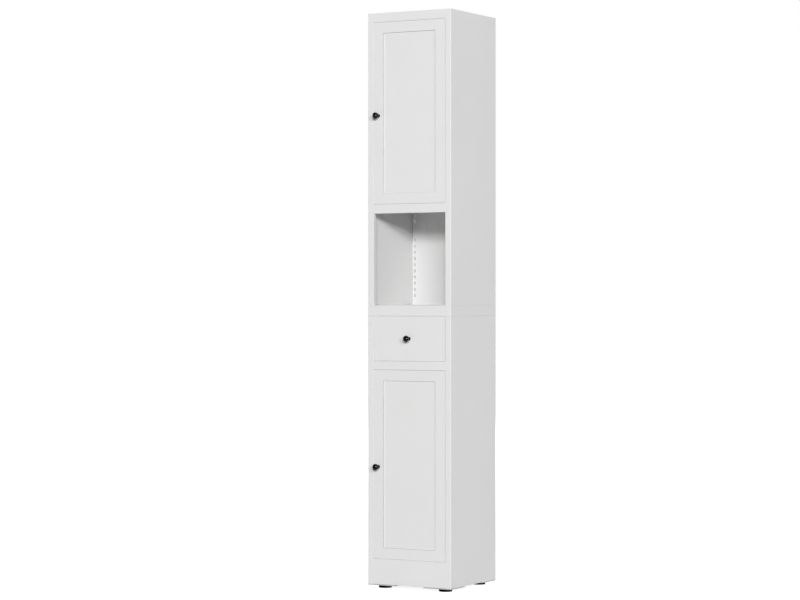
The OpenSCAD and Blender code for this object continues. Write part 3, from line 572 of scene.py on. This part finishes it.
def cap_profile(height):
    """Inset and depth below the top: from the middle out over the fold, down the skirt, in along the return and back up
    the inside."""
    return rounded([(CAP_MIDDLE, 0), (0, 0), (0, height), (CAP_RETURN, height), (CAP_RETURN, height - SHEET),
                    (SHEET, height - SHEET), (SHEET, SHEET), (CAP_MIDDLE, SHEET)],
                   [CAP_FOLD, CAP_FOLD, CUT_EDGE, CUT_EDGE, FOLD_INSIDE, FOLD_INSIDE])


cap_low, cap_high = box_mm("lower_cap")
cap = nested(cap_low[:2], cap_high[:2], cap_profile(cap_high[2] - cap_low[2]), PAN_CORNER)
cap = np.stack([cap[..., 0], cap[..., 1], cap_high[2] - cap[..., 2]], -1)
new_piece("lower_cap_lid", [closed_mesh(cap)], body_white, "cabinet", ["lower_cap"])
print("cap", np.round(cap_high - cap_low, 1), "mm")

# %% [markdown]
# Knobs are turned parts, so a profile of radius and height is carried once round the axis. The ball is slightly
# flattened along its axis and stands on a neck with a fillet, and the neck flares to a thin flange on the door.

# %% Turned parts
def around_axis(radius_height, angle, centre, axis):
    """Points of a grid of (radius, height) at the given angles round an axis: the centre, plus the radius times
    cos x side + sin x other, plus the height times the axis, where side and other stand square to the axis."""
    axis = np.asarray(axis, float)
    side = np.cross(axis, (0, 0, 1)) if abs(axis[2]) < 0.9 else np.array([1.0, 0, 0])
    circle = np.cos(angle)[:, None] * side + np.sin(angle)[:, None] * np.cross(axis, side)
    return np.asarray(centre, float) + radius_height[..., :1] * circle + radius_height[..., 1:] * axis


def turned(profile, centre, axis, around=96):
    """Grid of a turned part: each point of the profile (radius, height) goes round the axis through the centre."""
    angle = np.linspace(0, 2 * np.pi, around, endpoint=False)
    return around_axis(profile[:, None, :], angle, centre, axis)


# Knob: radius of the ball, whole length, length of the ball along the axis, and radius of the neck
KNOB_RADIUS, KNOB_LENGTH, KNOB_BALL, KNOB_NECK = 10.2, 28.0, 17.0, 4.0
# Radius and depth of its threaded hole, then radius and thickness of its flange and the height where the neck starts
HOLE_RADIUS, HOLE_DEPTH, FLANGE_RADIUS, FLANGE_EDGE, NECK_START = 2.06, 10.0, 6.0, 1.2, 3.4
# Radius of the small flat face that closes a hole or a pole in the middle of a turned part
POLE = 0.2


def knob_profile():
    """Hole, flange and neck with rounded corners, then the ball as an ellipse up to a small flat pole."""
    open_angle = np.arccos(KNOB_NECK / KNOB_RADIUS)
    angle = np.linspace(-open_angle, np.pi / 2 - 0.02, 40)
    middle = KNOB_LENGTH - KNOB_BALL / 2
    ball = np.stack([KNOB_RADIUS * np.cos(angle), middle + KNOB_BALL / 2 * np.sin(angle)], -1)
    stem = rounded([(POLE, HOLE_DEPTH), (HOLE_RADIUS, HOLE_DEPTH), (HOLE_RADIUS, 0), (FLANGE_RADIUS, 0),
                    (FLANGE_RADIUS, FLANGE_EDGE), (KNOB_NECK, NECK_START), ball[0]], [0, 0.1, 0.5, 0.6, 1.6])
    return np.concatenate([stem[:-1], ball])


for node, body in (("upper_door_knob", "upper_door"), ("drawer_knob", "drawer"), ("lower_door_knob", "lower_door")):
    low, high = box_mm(node)
    centre = np.array([(low[0] + high[0]) / 2, FACE_Y, (low[2] + high[2]) / 2])
    knob = turned(knob_profile(), centre, (0, -1, 0))
    new_piece(node + "_turned", [closed_mesh(knob)], knob_black, body, [node])
    print(node, "at x", round(centre[0], 1), "z", round(centre[2], 1))

# %% [markdown]
# Levelling feet. The pad is a low moulded disc with a soft lower edge and a shoulder, and a threaded stem stands in its
# middle. The stem shows only where a foot is screwed out. A thread is a circle whose radius goes up and down with the
# height minus the turn, so one formula over a grid of turn and height gives the whole spiral.

# %% Threads
def thread(radius, low, high, pitch, depth, around=36, per_turn=8):
    """Grid of a screw thread: the radius is full less a depth times how far the point is from the nearest crest, where
    crests lie a pitch apart and rise with the angle. Crest and root are a little flat. Both ends run out over half a
    turn."""
    height = np.linspace(low, high, max(4, int(per_turn * (high - low) / pitch)))
    angle = np.linspace(0, 2 * np.pi, around, endpoint=False)
    phase = height[:, None] / pitch - angle / (2 * np.pi)
    groove = np.abs(2 * (phase - np.floor(phase)) - 1)
    fade = np.clip(np.minimum(height - low, high - height) / (0.5 * pitch), 0, 1)[:, None]
    full = radius - depth * np.clip(1.25 * groove - 0.1, 0, 1) * fade
    return np.stack([full, np.broadcast_to(height[:, None], full.shape)], -1), angle


print("8 mm of thread have", len(thread(4.0, 0.0, 8.0, 1.25, 0.7)[0]), "rings")

# %% [markdown]
# Each foot takes its place from the box of its solid. Its pad is turned from a profile, and its stem is the thread's
# grid with a narrower ring on top, so that the end comes out pointed.

# %% Feet
FOOT_RADIUS, FOOT_HEIGHT, FOOT_EDGE, FOOT_SHOULDER = 20.5, 10.0, 0.3, 1.0
# Radius and depth of the hollow in the sole
SOLE_RADIUS, SOLE_DEPTH = 12.0, 0.8
# Stem: radius, level of its top, how far the thread stops below that or starts inside the pad, pitch and depth
STEM_RADIUS, STEM_TOP, STEM_POINT, STEM_ROOT, STEM_PITCH, STEM_DEPTH = 4.0, 27.5, 1.0, 0.5, 1.25, 0.7


def foot_profile():
    """Pad with a shallow hollow in its sole, a soft edge and a shoulder, up to the stem."""
    return rounded([(POLE, SOLE_DEPTH), (SOLE_RADIUS, SOLE_DEPTH), (SOLE_RADIUS + 0.6, 0.0),
                    (FOOT_RADIUS - FOOT_EDGE, 0.0), (FOOT_RADIUS, FOOT_EDGE),
                    (FOOT_RADIUS, FOOT_HEIGHT - FOOT_SHOULDER), (FOOT_RADIUS - FOOT_SHOULDER, FOOT_HEIGHT),
                    (STEM_RADIUS, FOOT_HEIGHT)], [0.4, 0.4, 0.2, 0.2, 0.6, 0.5])


OUT, UP, DOWN = (0, 1, 0), (0, 0, 1), (0, 0, -1)

for corner in ("front_left", "front_right", "rear_left", "rear_right"):
    node = corner + "_foot"
    low, high = box_mm(node)
    centre = np.array([*(low[:2] + high[:2]) / 2, 0.0])
    pad = turned(foot_profile(), centre, UP)
    new_piece(node + "_pad", [closed_mesh(pad)], foot_black, node, [node])
    spiral, angle = thread(STEM_RADIUS, FOOT_HEIGHT - STEM_ROOT, STEM_TOP - STEM_POINT, STEM_PITCH, STEM_DEPTH)
    tip = np.broadcast_to([STEM_RADIUS - STEM_POINT, STEM_TOP], (1, len(angle), 2))
    stem = around_axis(np.concatenate([spiral, tip]), angle, centre, UP)
    new_piece(node + "_stem", [closed_mesh(stem)], fastener_zinc, node)
    print(node, "at", np.round(centre[:2], 1))

# %% [markdown]
# Screws and bolts. A pan-head screw is one grid from the tip to the crown: the thread's spiral, a smooth neck, the
# underside of the head, its rounded rim, and a crown whose middle sinks into a cross. The cross is a depth that depends
# on the turn: it is full along two lines at right angles and fades out towards the rim. A bolt has a hexagon socket in
# a higher head, so there the depth is full inside a hexagon.

# %% Heads of screws and bolts
SCREW = {"radius": 2.0, "pitch": 1.1, "head": 3.8, "height": 2.2}
BOLT = {"radius": 3.0, "pitch": 1.0, "head": 6.0, "height": 3.0}
# Recess, as shares of the head's radius: width and reach of the cross, half the hexagon's width, width of its walls
CROSS_WIDTH, CROSS_REACH, SOCKET_HALF, RECESS_WALL = 0.42, 0.52, 0.5, 0.06
# Depth of the recess as a share of the head's height
RECESS_DEPTH = 0.62
SIXTH = np.pi / 3


def crown(radius, height, angle, socket):
    """Rings of a head above its underside. The outline rises over a rounded rim to a flat dome. Inside it, a ring lies
    lower by the recess depth times how far it is inside the cross, or inside the hexagonal socket of a bolt."""
    turn = np.linspace(0, np.pi / 2, 9)
    rim = np.stack([radius * (0.86 + 0.14 * np.cos(turn)), height * (0.35 + 0.40 * np.sin(turn))], -1)
    inner = radius * np.linspace(0.82, 0.02, 22)
    dome = np.stack([inner, height * (1.0 - 0.25 * (inner / radius / 0.86) ** 2)], -1)
    outline = np.concatenate([[(radius, 0.0)], rim, dome])
    grid = np.broadcast_to(outline[:, None, :], (len(outline), len(angle), 2)).copy()
    share = grid[..., 0] / radius
    if socket:
        edge = SOCKET_HALF / np.cos((angle + SIXTH / 2) % SIXTH - SIXTH / 2)
        inside = np.clip((edge - share) / RECESS_WALL, 0, 1)
    else:
        across = np.minimum(np.abs(np.sin(angle)), np.abs(np.cos(angle))) * share
        inside = np.clip((CROSS_WIDTH / 2 - across) / RECESS_WALL, 0, 1) * np.clip((CROSS_REACH - share) / 0.1, 0, 1)
    grid[..., 1] -= inside * RECESS_DEPTH * height * (share < 0.8)
    return grid


def screw_grid(kind, length, socket, around=48):
    """Radius and height of a whole screw over the turn: tip, thread, neck, underside and crown. The underside of the
    head lies at height zero and the shank goes down from there."""
    radius, pitch = kind["radius"], kind["pitch"]
    spiral, angle = thread(radius, -length + 0.4 * radius, -0.5, pitch, 0.32 * pitch, around, 6)
    tip = np.array([(0.15 * radius, -length), (0.72 * radius, -length), (0.8 * radius, -length + 0.1 * radius)])
    neck = np.array([(radius, -0.3), (radius, -0.02), (1.12 * radius, 0.0), (kind["head"] * 0.97, 0.0)])
    tip, neck = (np.broadcast_to(part[:, None, :], (len(part), around, 2)) for part in (tip, neck))
    return np.concatenate([tip, spiral, neck, crown(kind["head"], kind["height"], angle, socket)]), angle


def screws(kind, length, places, axis, socket=False):
    """Meshes of like screws: the head's underside is at each place and the shank runs against the axis."""
    shape, angle = screw_grid(kind, length, socket)
    return [closed_mesh(around_axis(shape, angle, place, axis)) for place in places]


def fasteners(name, meshes, body, nodes):
    """Zinc-plated screws or nuts as one piece, in place of their nodes."""
    return new_piece(name, meshes, fastener_zinc, body, nodes)


print("a screw has", len(screw_grid(SCREW, 7.0, False)[0]), "rings")

# %% [markdown]
# Where the screws sit. Their places come from the boxes of the solids that they hold: the rear screws sit in a row up
# the middle of each rear flange, with the end ones 60 mm from the ends of their part and one halfway. The knobs' screws
# come from inside each front, and the tray's four go through its front plate into the lips of the drawer front.

# %% Screws of the body
# Distance of the end screws from a part's ends, width of the rear flange, length of a tail, and seat of the back panel
REAR_END, REAR_FLANGE, SCREW_TAIL, SEAT = 60.0, 20.0, 4.0, 0.1
# A catch's screws: their distance, the height of the ear that they go through, and of the whole housing
CATCH_SCREWS_APART, CATCH_EAR, CATCH_HEIGHT = 34.0, 3.0, 11.5


def levels(low, high):
    """Heights of a row of three rear screws between two levels."""
    return [low + REAR_END, (low + high) / 2, high - REAR_END]


def inner_corners(low, high, inset_x, inset_y):
    """The four points inside the corners of a rectangle."""
    return [(x, y) for x in (low[0] + inset_x, high[0] - inset_x) for y in (low[1] + inset_y, high[1] - inset_y)]


upper_low, upper_high = box_mm("upper_left_side")
lower_low, lower_high = box_mm("lower_left_side")
rear_heights = levels(upper_low[2], upper_high[2] + SHEET) + levels(lower_low[2], lower_high[2])
rear_places = [(side * (-upper_low[0] - REAR_FLANGE / 2), upper_high[1], z) for side in (-1, 1) for z in rear_heights]

bolt_low, bolt_high = box_mm("joining_bolts")
bolt_seat = bolt_high[2] - BOLT["height"]
joints = inner_corners(bolt_low, bolt_high, BOLT["head"], BOLT["head"])
bolts = screws(BOLT, bolt_seat - bolt_low[2], [(x, y, bolt_seat) for x, y in joints], UP, socket=True)
fasteners("joining_bolts_socket", bolts, "cabinet", ["joining_bolts"])

catch_low, catch_high = box_mm("catch_housings")
catch_x, catch_y = (catch_low[:2] + catch_high[:2]) / 2
ears = [catch_low[2] + CATCH_EAR, catch_high[2] - CATCH_HEIGHT + CATCH_EAR]
catch_places = [(catch_x + side * CATCH_SCREWS_APART / 2, catch_y, z) for side in (-1, 1) for z in ears]
cap_places = [(x, y, lower_high[2] - SHEET) for x, y in joints]

body_screws = (screws(SCREW, 2 * SHEET + SCREW_TAIL, cap_places, DOWN)
               + screws(SCREW, CATCH_EAR + SHEET + SCREW_TAIL, catch_places, UP)
               + screws(SCREW, 2 * SHEET + SEAT + SCREW_TAIL, rear_places, OUT))
fasteners("body_screws_cross", body_screws, "cabinet", ["body_screws"])
print(len(body_screws), "body screws,", len(bolts), "bolts, rear screws at", np.round(rear_heights, 1), "mm")

# %% Screws of the drawer and the knobs
tray_low, tray_high = box_mm("drawer_screws")
tray_seat = tray_high[1] - SCREW["height"]
tray_places = [(x, tray_seat, z) for x, z in inner_corners(tray_low[[0, 2]], tray_high[[0, 2]], SCREW["head"],
                                                           SCREW["head"])]
fasteners("drawer_screws_cross", screws(SCREW, tray_seat - tray_low[1], tray_places, OUT), "drawer", ["drawer_screws"])

for front in ("upper_door", "lower_door", "drawer"):
    low, high = box_mm(front + "_knob_screw")
    seat_y = high[1] - SCREW["height"]
    place = ((low[0] + high[0]) / 2, seat_y, (low[2] + high[2]) / 2)
    fasteners(front + "_knob_screw_cross", screws(SCREW, seat_y - low[1], [place], OUT), front, [front + "_knob_screw"])
print(len(tray_places), "tray screws and three knob screws")

# %% [markdown]
# Nuts. A hexagon's outline is half its width over the cosine of the turn from the nearest flat, and a cone at each end
# cuts its corners back, so every ring takes the smaller of the two. Inside, the bore carries a thread, and the grid
# closes on itself both ways like a ring.

# %% Hexagon nuts
# Cone that cuts the corners: its radius at the ends over half the nut's width, and how fast it widens
CORNER_CUT, CONE_SLOPE = 1.05, 1.9
# Share of the height over which rings follow closely at each end
NUT_END = 0.14


def nut_mesh(centre, width, height, bore, pitch, around=72):
    """Points and faces of a nut that stands on its centre: up the outside, over the top, down the bore and back."""
    angle = np.linspace(0, 2 * np.pi, around, endpoint=False)
    hexagon = width / 2 / np.cos((angle + SIXTH) % SIXTH - SIXTH / 2)
    end = np.linspace(0, 1, 6) * NUT_END
    rise = np.concatenate([end, [0.2, 0.5, 0.8], 1 - NUT_END + end]) * height
    cone = width / 2 * CORNER_CUT + CONE_SLOPE * np.minimum(rise, height - rise)
    outside = np.minimum(hexagon, cone[:, None])
    down = np.linspace(height - 0.3, 0.3, int(8 * height / pitch))
    phase = down[:, None] / pitch - angle / (2 * np.pi)
    groove = bore + 0.3 * pitch * (1 - np.abs(2 * (phase - np.floor(phase)) - 1))
    entry = np.full((1, around), bore + 0.35 * pitch)
    radius = np.concatenate([outside, entry, groove, entry])
    level = np.concatenate([rise, [height], down, [0.0]])
    grid = np.stack([radius, np.broadcast_to(level[:, None], radius.shape)], -1)
    points = around_axis(grid, angle, centre, UP)
    return points.reshape(-1, 3), list(faces_of_grid(len(level) + 1, around, True) % radius.size)


def nuts(node, width, bore, pitch):
    """Four nuts in place of a node's solids, at the corners of its box."""
    low, high = box_mm(node)
    places = [(x, y, low[2]) for x, y in inner_corners(low, high, width / np.sqrt(3), width / 2)]
    return fasteners(node + "_hexagon", [nut_mesh(place, width, high[2] - low[2], bore, pitch) for place in places],
                     "cabinet", [node])


nuts("joining_nuts", 10.0, BOLT["radius"] + 0.06, BOLT["pitch"])
nuts("foot_nuts", 13.0, STEM_RADIUS + 0.06, STEM_PITCH)
print("nuts at the joints and over the feet")
